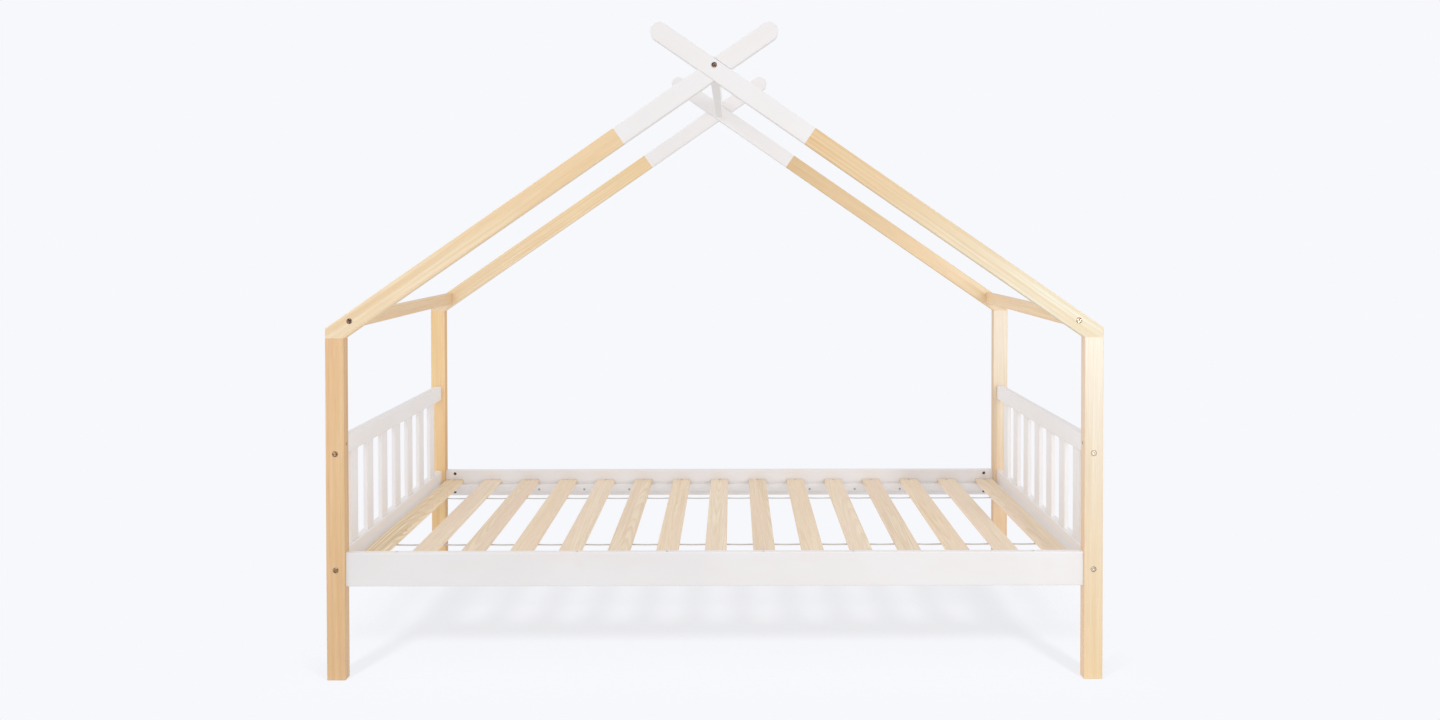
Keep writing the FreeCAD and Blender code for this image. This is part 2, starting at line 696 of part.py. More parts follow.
def master_bolt(name, through):
    """A connector bolt with a flat hexagon-socket head; its head's top is its origin."""
    radius = "bolt_diameter / 2"
    end = f"-({through} + nut_setback + bolt_reach)"
    body = turned(name, [
        ("0", "0"),
        ("0", end),
        (f"{radius} - bolt_head_edge", end),
        (radius, f"{end} + bolt_head_edge"),
        (radius, "-bolt_head_height"),
        ("bolt_head_diameter / 2", "-bolt_head_height"),
        ("bolt_head_diameter / 2", "-bolt_head_edge"),
        ("bolt_head_diameter / 2 - bolt_head_edge", "0"),
    ])
    corner = "hex_socket_width / 2 / cos(30)"
    socket = [(f"{corner} * cos({60 * i})", f"{corner} * sin({60 * i})") for i in range(6)]
    cut(body, "top", "0", "hex_socket_depth", loops=[socket])
    return body


def master_screw(name, length):
    """A countersunk wood screw; its head's top is its origin."""
    cone = "(screw_head_diameter - screw_diameter) / 2 / tan(countersink_angle / 2)"
    body = turned(name, [
        ("0", "0"),
        ("0", f"-{length}"),
        ("screw_diameter / 2", f"screw_tip - {length}"),
        ("screw_diameter / 2", f"-{cone}"),
        ("screw_head_diameter / 2", "0"),
    ])
    drive = box_corners("0", "0", "drive_recess_width", "drive_recess_width")
    cut(body, "top", "0", "drive_recess_depth", loops=[drive])
    return body


def master_nut():
    """A barrel nut: its own axis is Z and its threaded hole runs along X."""
    body = new_body("barrel_nut_master")
    sketch = draw(body, "XY_Plane", circles=[("0", "0", "nut_diameter")])
    pad(body, sketch, "nut_length")
    thread = [("0", "0", "bolt_diameter + 2 * thread_clearance")]
    cut(body, "right", "nut_diameter / 2", "nut_diameter", circles=thread)
    slot = box_corners("0", "0", "nut_diameter", "nut_slot_width")
    cut(body, "top", "nut_length / 2", "nut_slot_depth", loops=[slot])
    return body


def master_dowel():
    """A plain dowel, upright, its middle at the origin."""
    body = new_body("dowel_master")
    sketch = draw(body, "XY_Plane", circles=[("0", "0", "dowel_diameter")])
    pad(body, sketch, "dowel_length")
    return body


def master_staple():
    """A wire staple under its webbing, legs up; the top of its crown is the origin."""
    body = new_body("staple_master")
    half = "staple_width / 2"
    outline = [
        (f"-{half}", "-staple_crown"),
        (half, "-staple_crown"),
        (half, "staple_length"),
        (f"{half} - staple_wire", "staple_length"),
        (f"{half} - staple_wire", "0"),
        (f"staple_wire - {half}", "0"),
        (f"staple_wire - {half}", "staple_length"),
        (f"-{half}", "staple_length"),
    ]
    pad(body, draw(body, "XZ_Plane", loops=[outline]), "staple_wire")
    return body


def make_fasteners():
    """The bolts, barrel nuts, dowels, screws and staples, one node for each kind."""
    post_x = value(POST_X)
    post_y = value(POST_Y)
    bay_x = value(BAY_X)
    bay_y = value(BAY_Y)
    outer_x = value("bed_length / 2")
    outer_y = value("bed_width / 2")
    setback = value("nut_setback")
    low_level = value(RAIL_MIDDLE)
    rail_levels = [low_level + sign * value("rail_bolt_spacing") / 2 for sign in (-1, 1)]
    nut_turns = {
        "along_bed": Rotation(Vector(0, 1, 0), Vector(0, 0, 1), Vector(1, 0, 0), "ZXY"),
        "across_bed": Rotation(Vector(1, 0, 0), Vector(0, 0, -1), Vector(0, 1, 0), "ZXY"),
    }
    half_turn = Rotation(Vector(1, 0, 0), 180)
    panel, rail, roof, nuts, dowels = [], [], [], [], []
    for end, end_sign, side, side_sign in sides():
        outward = Vector(0, side_sign, 0)
        nut_y = side_sign * (bay_y - setback)
        # A nut's slot looks out of the mouth of its hole.
        turn = nut_turns["along_bed"]
        if end_sign < 0:
            turn = turn * half_turn
        for level in (low_level, value(TOP_BOLT_LEVEL)):
            panel.append(facing(end_sign * post_x, side_sign * outer_y, level, outward))
            nuts.append(Placement(Vector(end_sign * post_x, nut_y, level), turn))
        eave_x = end_sign * value(EAVE_X)
        roof.append(facing(eave_x, side_sign * outer_y, value(EAVE_LEVEL), outward))
        nuts.append(Placement(Vector(eave_x, nut_y, value(EAVE_LEVEL)), turn))
        if end == "left":
            roof.append(facing(0, side_sign * outer_y, value(RIDGE_LEVEL), outward))
            nuts.append(Placement(Vector(0, nut_y, value(RIDGE_LEVEL)), turn))
        turn = nut_turns["across_bed"]
        if side_sign > 0:
            turn = turn * half_turn
        for level in rail_levels:
            outward = Vector(end_sign, 0, 0)
            rail.append(facing(end_sign * outer_x, side_sign * post_y, level, outward))
            nut_x = end_sign * (bay_x - setback)
            nuts.append(Placement(Vector(nut_x, side_sign * post_y, level), turn))
        for sign in (-1, 1):
            x = end_sign * post_x + sign * value("dowel_spacing") / 2
            dowels.append(facing(x, side_sign * post_y, value("post_height"), Vector(0, 0, 1)))

    slat_xs = [value(f"{i} * {SLAT_PITCH} - {SLAT_FIELD}") for i in range(whole("slat_count"))]
    screw_xs = [
        value(f"{i} * cleat_screw_spacing - {SCREW_FIELD}")
        for i in range(whole("cleat_screw_count"))
    ]
    slat_screws, cleat_screws, staples = [], [], []
    for side_sign in (-1, 1):
        for x in slat_xs:
            place = (x, side_sign * value(CLEAT_Y), value(SLAT_TOP))
            slat_screws.append(facing(*place, Vector(0, 0, 1)))
            under = value(f"{CLEAT_TOP} - webbing_thickness")
            staples.append(Placement(Vector(x, side_sign * value(WEBBING_Y), under), Rotation()))
        inner_y = side_sign * value(f"{SIDE_FACE_Y} - cleat_depth")
        for x in screw_xs:
            place = (x, inner_y, value(CLEAT_SCREW_LEVEL))
            cleat_screws.append(facing(*place, Vector(0, -side_sign, 0)))

    short_bolt = master_bolt("short_bolt_master", "post_depth")
    copies("panel_bolts", short_bolt, panel)
    copies("roof_bolts", short_bolt, roof)
    copies("rail_bolts", master_bolt("long_bolt_master", "post_width"), rail)
    copies("barrel_nuts", master_nut(), nuts)
    copies("roof_dowels", master_dowel(), dowels)
    copies("slat_screws", master_screw("slat_screw_master", "slat_screw_length"), slat_screws)
    copies("cleat_screws", master_screw("cleat_screw_master", "cleat_screw_length"), cleat_screws)
    copies("webbing_staples", master_staple(), staples)


def make_all():
    """Every piece of the bed."""
    for corner in sides():
        make_post(*corner)
        make_rafter(*corner)
    make_beam("ridge_beam", "ridge_thickness", "ridge_height", "left", "0", RIDGE_LEVEL)
    for end, end_sign in (("left", -1), ("right", 1)):
        name = f"eave_beam_{end}"
        x = f"{end_sign} * {EAVE_X}"
        make_beam(name, "eave_thickness", "eave_height", end, x, EAVE_LEVEL)
        make_low_rail(end, end_sign)
        make_top_rail(end, end_sign)
        for number in range(whole("spindle_count")):
            make_spindle(end, end_sign, number)
    for side, side_sign in (("front", -1), ("rear", 1)):
        make_side_rail(side, side_sign)
        make_cleat(side, side_sign)
        make_webbing(side, side_sign)
    for number in range(whole("slat_count")):
        make_slat(number)
    make_fasteners()


def check_all():
    """Stop at any feature that failed, cut nothing or left a piece that isn't valid."""
    doc.recompute()
    for item in doc.Objects:
        if "Invalid" in item.State or "Error" in item.State:
            raise RuntimeError(f"{item.Name} failed: {item.State}")
        if item.TypeId in ("PartDesign::Pocket", "PartDesign::Hole"):
            if item.Shape.Volume > item.BaseFeature.Shape.Volume - TINY:
                raise RuntimeError(f"{item.Name} cuts nothing")
    for node in NODES:
        if node.Shape.isNull() or not node.Shape.isValid():
            raise RuntimeError(f"{node.Label} isn't a valid shape")


make_all()
check_all()
os.makedirs("parts", exist_ok=True)
for node in NODES:
    node.Shape.exportStep(f"parts/{node.Label}.step")
print(len(NODES), "pieces written")
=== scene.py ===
import math

import bpy
from mathutils import Matrix, Vector


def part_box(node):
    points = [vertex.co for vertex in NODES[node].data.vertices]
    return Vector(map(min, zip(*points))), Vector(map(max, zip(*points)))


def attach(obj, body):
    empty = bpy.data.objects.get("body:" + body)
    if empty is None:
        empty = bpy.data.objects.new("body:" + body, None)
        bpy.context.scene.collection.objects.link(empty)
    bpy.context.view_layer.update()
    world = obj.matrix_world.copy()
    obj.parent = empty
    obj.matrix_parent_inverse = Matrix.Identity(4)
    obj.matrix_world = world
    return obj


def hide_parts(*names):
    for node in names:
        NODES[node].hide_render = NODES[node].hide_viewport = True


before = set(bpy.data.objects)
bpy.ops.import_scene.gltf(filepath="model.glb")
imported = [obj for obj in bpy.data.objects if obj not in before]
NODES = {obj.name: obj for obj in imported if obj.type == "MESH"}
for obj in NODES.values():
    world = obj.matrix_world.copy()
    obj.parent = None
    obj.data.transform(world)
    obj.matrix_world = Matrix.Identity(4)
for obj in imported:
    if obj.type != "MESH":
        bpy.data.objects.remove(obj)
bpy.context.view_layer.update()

SCENE = bpy.context.scene
X, Y, Z = Vector((1, 0, 0)), Vector((0, 1, 0)), Vector((0, 0, 1))
MM = 0.001


def srgb(red, green, blue):
    """A colour of 0-255 values as the linear colour that shaders take."""
    shares = (value / 255 for value in (red, green, blue))
    linear = [s / 12.92 if s <= 0.04045 else ((s + 0.055) / 1.055) ** 2.4 for s in shares]
    return (*linear, 1.0)


def tone(red, green, blue):
    """A linear colour that others are multiplied by."""
    return (red, green, blue, 1.0)


# ---------------------------------------------------------------- node trees


class Tree:
    """Adds nodes to one node tree, each by one call."""

    def __init__(self, tree):
        self.tree = tree

    def feed(self, socket, value):
        """Links an output to the socket, or sets the socket to a plain value."""
        if isinstance(value, bpy.types.NodeSocket):
            self.tree.links.new(value, socket)
        else:
            socket.default_value = value

    def node(self, kind, inputs=(), **settings):
        """A node with these settings, and with these values or links in its inputs."""
        made = self.tree.nodes.new(kind)
        for key, value in settings.items():
            setattr(made, key, value)
        for key, value in dict(inputs).items():
            self.feed(made.inputs[key], value)
        return made

    def ordered(self, kind, values, **settings):
        """The outputs of a node whose inputs are given in their order."""
        made = self.node(kind, **settings)
        for socket, value in zip(made.inputs, values):
            self.feed(socket, value)
        return made.outputs

    def math(self, operation, *values):
        return self.ordered("ShaderNodeMath", values, operation=operation)[0]

    def weighted(self, *terms):
        """The sum of the values, each times its weight."""
        parts = [self.math("MULTIPLY", value, weight) for value, weight in terms]
        total = parts[0]
        for part in parts[1:]:
            total = self.math("ADD", total, part)
        return total

    def vector(self, operation, *values):
        return self.ordered("ShaderNodeVectorMath", values, operation=operation)["Vector"]

    def stretched(self, vector, factors):
        return self.vector("MULTIPLY", vector, factors)

    def dot(self, first, second):
        made = self.ordered("ShaderNodeVectorMath", (first, second), operation="DOT_PRODUCT")
        return made["Value"]

    def split(self, vector):
        return self.ordered("ShaderNodeSeparateXYZ", (vector,))[:]

    def join(self, x, y, z):
        return self.ordered("ShaderNodeCombineXYZ", (x, y, z))[0]

    def channels(self, colour):
        return self.ordered("ShaderNodeSeparateColor", (colour,))[:]

    def noise(self, vector, scale, detail=2.0, roughness=0.5):
        made = self.node("ShaderNodeTexNoise", {
            "Vector": vector, "Scale": scale, "Detail": detail, "Roughness": roughness})
        return made.outputs["Fac"]

    def mix(self, factor, first, second, blend="MIX"):
        """Two colours mixed."""
        made = self.node("ShaderNodeMix", data_type="RGBA", blend_type=blend)
        for index, value in ((0, factor), (6, first), (7, second)):
            self.feed(made.inputs[index], value)
        return made.outputs[2]

    def blend(self, factor, first, second):
        """Two numbers mixed."""
        made = self.node("ShaderNodeMix", data_type="FLOAT")
        for index, value in ((0, factor), (2, first), (3, second)):
            self.feed(made.inputs[index], value)
        return made.outputs[0]

    def times(self, first, second):
        """Two colours multiplied."""
        return self.mix(1.0, first, second, "MULTIPLY")

    def tinted(self, share, colour, tint):
        """The colour, multiplied by the tint where the share is 1."""
        return self.mix(share, colour, self.times(colour, tint))

    def remap(self, value, low, high, out_low=0.0, out_high=1.0, smooth=False):
        """The value from low to high, spread over out_low to out_high and held there."""
        style = "SMOOTHSTEP" if smooth else "LINEAR"
        values = (value, low, high, out_low, out_high)
        return self.ordered("ShaderNodeMapRange", values, interpolation_type=style)[0]

    def hypot(self, first, second):
        squares = [self.math("MULTIPLY", value, value) for value in (first, second)]
        return self.math("SQRT", self.math("ADD", *squares))

    def object_place(self):
        return self.node("ShaderNodeTexCoord").outputs["Object"]


def new_group(name, inputs, outputs):
    """A node group with these ports: the tree, its inputs and the sockets of its output."""
    group = bpy.data.node_groups.new(name, "ShaderNodeTree")
    for ports, way in ((inputs, "INPUT"), (outputs, "OUTPUT")):
        for port, kind in ports.items():
            group.interface.new_socket(port, in_out=way, socket_type="NodeSocket" + kind)
    tree = Tree(group)
    return tree, tree.node("NodeGroupInput").outputs, tree.node("NodeGroupOutput").inputs


KNOTS_PER_METRE = 2.5
KNOT_LEAST, KNOT_MOST = 1.6 * MM, 7.5 * MM      # radius
KNOT_SHAPE = 0.75                               # width over length
KNOT_HEART, KNOT_RIM = srgb(172, 112, 62), srgb(116, 70, 38)
KNOT_GLOW = srgb(238, 205, 170)
WANDER = 0.016     # how far the rings stray, in metres


def pine_group():
    """Pine as a solid: growth rings round a heart beside the board, fibres along it, knots.

    Place is a point in the board's own frame in metres: x across the face, y into it and z
    along the grain.
    """
    tree, given, made = new_group(
        "Solid_pine",
        {"Place": "Vector", "Seed": "Float", "Heart": "Vector", "Lean": "Vector",
         "Ring": "Float", "Spread": "Float", "Knots": "Float",
         "Light": "Color", "Dark": "Color", "Blush": "Color",
         "Tail": "Color", "Tail start": "Float", "Tail end": "Float"},
        {"Color": "Color", "Roughness": "Float", "Height": "Float", "Knot": "Float"})
    x, y, z = tree.split(given["Place"])
    far = tree.math("ADD", z, given["Seed"])

    def drawn_out(thin, long):
        """A place for noise that is finer across the grain than along it."""
        return tree.join(tree.math("MULTIPLY", x, thin), tree.math("MULTIPLY", y, thin),
                         tree.math("MULTIPLY", far, long))

    # Knots run through the board from face to face, KNOTS_PER_METRE of them at most.
    cell = tree.node("ShaderNodeTexVoronoi", {"W": far, "Scale": KNOTS_PER_METRE},
                     voronoi_dimensions="1D")
    side, growth, chance = tree.channels(cell.outputs["Color"])[:3]
    knot_x = tree.math("MULTIPLY", tree.math("SUBTRACT", side, 0.5), given["Spread"])
    size = tree.remap(tree.math("POWER", growth, 2.0), 0.0, 1.0, KNOT_LEAST, KNOT_MOST)
    along = tree.math("MULTIPLY", cell.outputs["Distance"], KNOT_SHAPE / KNOTS_PER_METRE)
    ratio = tree.math("DIVIDE", tree.hypot(tree.math("SUBTRACT", x, knot_x), along), size)
    there = tree.math("LESS_THAN", chance, given["Knots"])
    core = tree.math("MULTIPLY", tree.remap(ratio, 1.2, 0.7, smooth=True), there)
    near = tree.math("MULTIPLY", tree.remap(ratio, 4.5, 0.5, smooth=True), there)

    # Rings, which wander with the grain and bend round the knots.
    drift = tree.node("ShaderNodeTexNoise", {
        "Vector": drawn_out(7.0, 1.1), "Scale": 1.0, "Detail": 2.0, "Roughness": 0.45})
    wander = tree.vector("SCALE", drift.outputs["Color"])
    wander.node.inputs["Scale"].default_value = WANDER
    sides = []
    for value, heart, astray, lean in zip((x, y), tree.split(given["Heart"]),
                                          tree.split(wander), tree.split(given["Lean"])):
        off = tree.math("ADD", tree.math("SUBTRACT", value, heart), astray)
        sides.append(tree.math("ADD", off, tree.math("MULTIPLY", lean, z)))
    bulge = tree.math("MULTIPLY", tree.math("MULTIPLY", near, size), 1.3)
    radius = tree.math("ADD", tree.hypot(*sides), bulge)
    count = tree.math("DIVIDE", radius, given["Ring"])
    uneven = tree.node("ShaderNodeTexNoise", {
        "W": tree.math("ADD", count, given["Seed"]), "Scale": 0.31, "Detail": 1.0},
        noise_dimensions="1D")
    count = tree.math("ADD", count, tree.math("MULTIPLY", uneven.outputs["Fac"], 1.7))
    phase = tree.math("FRACT", count)
    rise = tree.remap(phase, 0.25, 0.88, smooth=True)
    fall = tree.remap(phase, 1.0, 0.9, smooth=True)
    year = tree.node("ShaderNodeTexWhiteNoise", {"W": tree.math("FLOOR", count)},
                     noise_dimensions="1D")
    late = tree.math("MULTIPLY", tree.math("MULTIPLY", rise, fall),
                     tree.remap(year.outputs["Value"], 0, 1, 0.35, 1.0))

    # Fibres and pores drawn out along the grain, and slow changes of tone.
    def streaks(thin, long, detail):
        return tree.noise(drawn_out(thin, long), 1.0, detail, 0.55)

    fibre = streaks(thin=620.0, long=14.0, detail=3.0)
    pore = streaks(thin=2300.0, long=55.0, detail=2.0)
    band = streaks(thin=95.0, long=2.2, detail=2.0)
    slow = streaks(thin=16.0, long=1.4, detail=2.0)

    colour = tree.mix(late, given["Light"], given["Dark"])
    colour = tree.mix(tree.remap(band, 0.42, 0.72), colour, given["Dark"])
    colour = tree.mix(tree.remap(slow, 0.40, 0.70), colour, given["Blush"])
    # The tail is painted shade, laid on from Tail start to Tail end along the grain.
    share = tree.remap(z, given["Tail start"], given["Tail end"])
    colour = tree.tinted(share, colour, given["Tail"])
    shade = tree.math("MULTIPLY", tree.remap(fibre, 0.3, 0.7, 0.93, 1.035),
                      tree.remap(pore, 0.32, 0.5, 0.965, 1.01))
    colour = tree.times(colour, tree.join(shade, shade, shade))
    rim = tree.math("MULTIPLY", tree.remap(ratio, 0.55, 1.0, smooth=True), core)
    brown = tree.mix(rim, KNOT_HEART, KNOT_RIM)
    colour = tree.mix(tree.math("MULTIPLY", core, 0.8), colour, brown)
    glow = tree.math("MULTIPLY", near, 0.30)
    colour = tree.mix(glow, colour, tree.times(given["Dark"], KNOT_GLOW))
    tree.feed(made["Color"], colour)
    rough = tree.remap(tree.math("ADD", fibre, tree.math("MULTIPLY", late, 0.4)),
                       0.3, 1.1, 0.06, -0.05)
    tree.feed(made["Roughness"], rough)
    tree.feed(made["Height"], tree.weighted((late, 0.45), (fibre, 0.35), (pore, 0.2)))
    tree.feed(made["Knot"], near)
    return tree.tree


PINE = pine_group()


# ----------------------------------------------------------------- materials


def new_material(name):
    """An empty material: its tree and its surface socket."""
    material = bpy.data.materials.new(name)
    material.use_nodes = True
    material.node_tree.nodes.clear()
    tree = Tree(material.node_tree)
    surface = tree.node("ShaderNodeOutputMaterial").inputs["Surface"]
    return material, tree, surface


def shader(tree, surface, inputs):
    """Gives the surface one shader with these inputs."""
    made = tree.node("ShaderNodeBsdfPrincipled", inputs)
    tree.feed(surface, made.outputs[0])


def bumped(tree, height, depth):
    """The normal of a surface with this height, depth metres deep."""
    made = tree.node("ShaderNodeBump", {"Height": height, "Distance": depth,
                                        "Strength": 1.0})
    return made.outputs[0]


def dress(node, material):
    """Gives a CAD node its finished material in every slot."""
    slots = NODES[node].data.materials
    if not slots:
        slots.append(material)
    for index in range(len(slots)):
        slots[index] = material


def board(finish, node, along, face, wood):
    """Dresses a board in a new material of pine, whose grain runs along and whose broad
    face is the one named: its tree, its surface socket, its place and its pine.

    The place is a point in the board's own frame, from its middle, with z along the grain.
    """
    material, tree, surface = new_material(f"{finish}_{node}")
    dress(node, material)
    low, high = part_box(node)
    turn = Matrix((face.cross(along), face, along))
    place = tree.node("ShaderNodeMapping", {
        "Vector": tree.object_place(), "Location": -(turn @ ((low + high) / 2)),
        "Rotation": turn.to_euler()}).outputs[0]
    pine = tree.node("ShaderNodeGroup", {"Place": place, **wood}, node_tree=PINE)
    return tree, surface, place, pine.outputs


# The cosine between the normal and an axis at which a face begins and ends to count as
# square to it.
END_FACE = (0.7, 0.95)
NARROW_FACE = (0.4, 0.8)


def facing(tree, axis, limits):
    """1 where the surface faces this way or the other, else 0."""
    normal = tree.node("ShaderNodeTexCoord").outputs["Normal"]
    return tree.remap(tree.math("ABSOLUTE", tree.dot(normal, axis)), *limits)


LACQUERED_END = srgb(226, 205, 182)
BARE_END = srgb(214, 190, 168)
LACQUER_ROUGHNESS = 0.40
BARE_ROUGHNESS = 0.66


def with_end_grain(tree, colour, along, tint):
    """The colour, darker on the ends of the board."""
    return tree.tinted(facing(tree, along, END_FACE), colour, tint)


def lacquered(node, along, face, wood, painted_side_shade=tone(1.0, 1.0, 1.0), coat=0.22):
    """Clear satin lacquer on pine, whose narrow faces are multiplied by a painted shade."""
    tree, surface, _, pine = board("Lacquered", node, along, face, wood)
    colour = with_end_grain(tree, pine["Color"], along, LACQUERED_END)
    # The narrow faces take the side tone, a painted shade for the shadow they lie in.
    narrow = facing(tree, face.cross(along), NARROW_FACE)
    shader(tree, surface, {
        "Base Color": tree.tinted(narrow, colour, painted_side_shade),
        "Roughness": tree.math("ADD", pine["Roughness"], LACQUER_ROUGHNESS),
        "Normal": bumped(tree, pine["Height"], 0.06 * MM),
        "Coat Weight": coat, "Coat Roughness": 0.28, "Specular IOR Level": 0.42})


def bare(node, along, face, wood):
    """Planed pine with no finish."""
    tree, surface, _, pine = board("Bare", node, along, face, wood)
    shader(tree, surface, {
        "Base Color": with_end_grain(tree, pine["Color"], along, BARE_END),
        "Roughness": tree.math("ADD", pine["Roughness"], BARE_ROUGHNESS),
        "Normal": bumped(tree, pine["Height"], 0.10 * MM), "Specular IOR Level": 0.3})


PAINT = srgb(236, 233, 232)
PAINT_WARM = srgb(236, 229, 225)
PAINT_COOL = srgb(231, 230, 232)
# Pure white that painted light mixes into the paint.
PAINTED_LIGHT_WHITE = srgb(255, 254, 253)
KNOT_GHOST = srgb(232, 219, 204)


def paint_layers(tree, place, pine, painted_light):
    """Thin satin paint over planed pine: its colour, roughness and height. Painted light, by
    the given share, whitens it towards pure white."""
    cloud = tree.noise(tree.stretched(place, (1.0, 1.0, 0.35)), 9.0, 3.0, 0.55)
    colour = tree.mix(tree.remap(cloud, 0.42, 0.68), PAINT, PAINT_WARM)
    grey = tree.noise(place, 3.1)
    colour = tree.mix(tree.remap(grey, 0.45, 0.75, 0.0, 0.8), colour, PAINT_COOL)
    ghost = tree.math("MULTIPLY", pine["Knot"], 0.14)
    colour = tree.mix(ghost, colour, KNOT_GHOST)
    # Painted light: the paint is mixed towards pure white by this share.
    colour = tree.mix(painted_light, colour, PAINTED_LIGHT_WHITE)
    peel = tree.noise(place, 650.0, roughness=0.6)
    brush = tree.noise(tree.stretched(place, (1.0, 1.0, 0.03)), 900.0)
    rough = tree.math("ADD", tree.remap(peel, 0.3, 0.7, 0.36, 0.48),
                      tree.remap(cloud, 0.3, 0.7, -0.03, 0.03))
    height = tree.weighted((pine["Height"], 0.45), (peel, 0.25), (brush, 0.2))
    return colour, rough, height


def painted(node, along, face, wood, painted_light=0.0, painted_light_edges=0.0):
    """White paint over pine, with the grain and knots just showing through. Painted light may
    whiten the paint all over, or on the narrow faces only."""
    tree, surface, place, pine = board("Painted", node, along, face, wood)
    # Painted light on the narrow faces only.
    if painted_light_edges:
        narrow = facing(tree, face.cross(along), NARROW_FACE)
        painted_light = tree.math("MULTIPLY", narrow, painted_light_edges)
    colour, rough, height = paint_layers(tree, place, pine, painted_light)
    shader(tree, surface, {
        "Base Color": colour, "Roughness": rough,
        "Normal": bumped(tree, height, 0.05 * MM), "Specular IOR Level": 0.45})


# The paint's edge: how far it strays and blurs, and how much lower the wood beside it lies,
# as a share of the relief.
RAGGED = 0.4 * MM
PAINT_EDGE = 0.25 * MM
LACQUER_DEPTH = 0.6


def half_painted(node, along, face, wood, paint_from, painted_light):
    """A rafter: lacquered pine that turns into white paint paint_from metres up from its
    middle, with a masked edge."""
    tree, surface, place, pine = board("Rafter", node, along, face, wood)
    # The paint above the line may be whitened by painted light.
    colour, rough, height = paint_layers(tree, place, pine, painted_light)
    ragged = tree.noise(tree.stretched(place, (1.0, 1.0, 0.2)), 1400.0)
    edge = tree.math("ADD", tree.split(place)[2],
                     tree.remap(ragged, 0.3, 0.7, -RAGGED, RAGGED))
    white = tree.remap(edge, paint_from - PAINT_EDGE, paint_from + PAINT_EDGE)
    wood_colour = with_end_grain(tree, pine["Color"], along, LACQUERED_END)
    wood_rough = tree.math("ADD", pine["Roughness"], LACQUER_ROUGHNESS)
    wood_height = tree.math("SUBTRACT", pine["Height"], LACQUER_DEPTH)
    shader(tree, surface, {
        "Base Color": tree.mix(white, wood_colour, colour),
        "Roughness": tree.blend(white, wood_rough, rough),
        "Normal": bumped(tree, tree.blend(white, wood_height, height), 0.06 * MM),
        "Coat Weight": 0.15, "Coat Roughness": 0.3, "Specular IOR Level": 0.42})


# Painted reflection on the bolts towards the right end of the bed: its colour, and where it
# begins and ends across the bed.
GLARE = srgb(252, 246, 232)
GLARE_FROM, GLARE_TO = 0.3, 0.95


def metal(node, light, dark, rough, patches=420.0, contrast=0.165, pale=0.0):
    """Plated steel: cloudy tone, fine scratches and duller patches. A painted reflection may
    whiten the heads towards the right end of the bed."""
    material, tree, surface = new_material("Metal_" + node)
    place = tree.object_place()
    cloud = tree.noise(place, patches, 3.0, 0.6)
    scratch = tree.noise(tree.stretched(place, (0.12, 1.0, 1.0)), 2600.0)
    patch = tree.noise(place, 130.0)
    colour = tree.mix(tree.remap(cloud, 0.515 - contrast, 0.515 + contrast), light, dark)
    # Painted reflection: the heads grow whiter towards the right end of the bed.
    if pale:
        right = tree.remap(tree.split(place)[0], GLARE_FROM, GLARE_TO, 0.0, pale)
        colour = tree.mix(right, colour, GLARE)
    shader(tree, surface, {
        "Base Color": colour, "Metallic": 1.0,
        "Roughness": tree.math("ADD", tree.remap(patch, 0.3, 0.7, rough, rough + 0.16),
                               tree.remap(scratch, 0.35, 0.65, -0.05, 0.05)),
        "Normal": bumped(tree, scratch, 0.02 * MM)})
    dress(node, material)


# ------------------------------------------------------------- camera, light

SENSOR_MM, FOCAL_MM = 36.0, 25.844
SHIFT = (-0.01043, -0.07788)
EYE = (0.04734, -3.12994, 1.14974)
YAW, PITCH_DOWN, ROLL = -0.00205, 0.01349, -0.00109
CLIP = (0.05, 100.0)


def make_camera():
    """The photograph's view, for a picture of 1440 x 720."""
    data = bpy.data.cameras.new("Camera")
    camera = bpy.data.objects.new("Camera", data)
    SCENE.collection.objects.link(camera)
    data.sensor_width = SENSOR_MM
    data.lens = FOCAL_MM
    data.shift_x, data.shift_y = SHIFT
    data.clip_start, data.clip_end = CLIP
    camera.location = EYE
    turn = (Matrix.Rotation(YAW, 3, "Z") @ Matrix.Rotation(math.pi / 2 - PITCH_DOWN, 3, "X")
            @ Matrix.Rotation(ROLL, 3, "Z"))
    camera.rotation_euler = turn.to_euler()
    SCENE.camera = camera


def make_light(name, place, target, size, watts, colour):
    """A rectangular lamp that faces its target."""
    data = bpy.data.lights.new(name, "AREA")
    data.shape = "RECTANGLE"
    data.size, data.size_y = size
    data.energy = watts
    data.color = colour
    light = bpy.data.objects.new(name, data)
    light.location = place
    aim = Vector(target) - Vector(place)
    light.rotation_euler = aim.to_track_quat("-Z", "Y").to_euler()
    SCENE.collection.objects.link(light)
    return light


BACKDROP = srgb(247, 248, 252)
STUDIO = tone(0.975, 0.98, 1.0)
STUDIO_STRENGTH = 0.645
LEFT_MORE, RIGHT_MORE, ABOVE_MORE = 0.74, 0.44, 0.23


def make_world():
    """A pale studio, brighter at the sides. The camera sees an even backdrop instead."""
    world = bpy.data.worlds.new("Studio")
    SCENE.world = world
    world.use_nodes = True
    world.node_tree.nodes.clear()
    tree = Tree(world.node_tree)
    seen = tree.node("ShaderNodeBackground", {"Color": BACKDROP, "Strength": 1.0})
    x, _, z = tree.split(tree.node("ShaderNodeTexCoord").outputs["Generated"])
    strength = STUDIO_STRENGTH
    for way, more in ((tree.math("MULTIPLY", x, -1.0), LEFT_MORE), (x, RIGHT_MORE),
                      (z, ABOVE_MORE)):
        share = tree.math("POWER", tree.math("MAXIMUM", way, 0.0), 2.0)
        strength = tree.math("ADD", strength, tree.math("MULTIPLY", share, more))
    lit = tree.node("ShaderNodeBackground", {"Color": STUDIO, "Strength": strength})
    ray = tree.node("ShaderNodeLightPath").outputs["Is Camera Ray"]
    both = tree.ordered("ShaderNodeMixShader", (ray, lit.outputs[0], seen.outputs[0]))
    tree.feed(tree.node("ShaderNodeOutputWorld").inputs["Surface"], both[0])


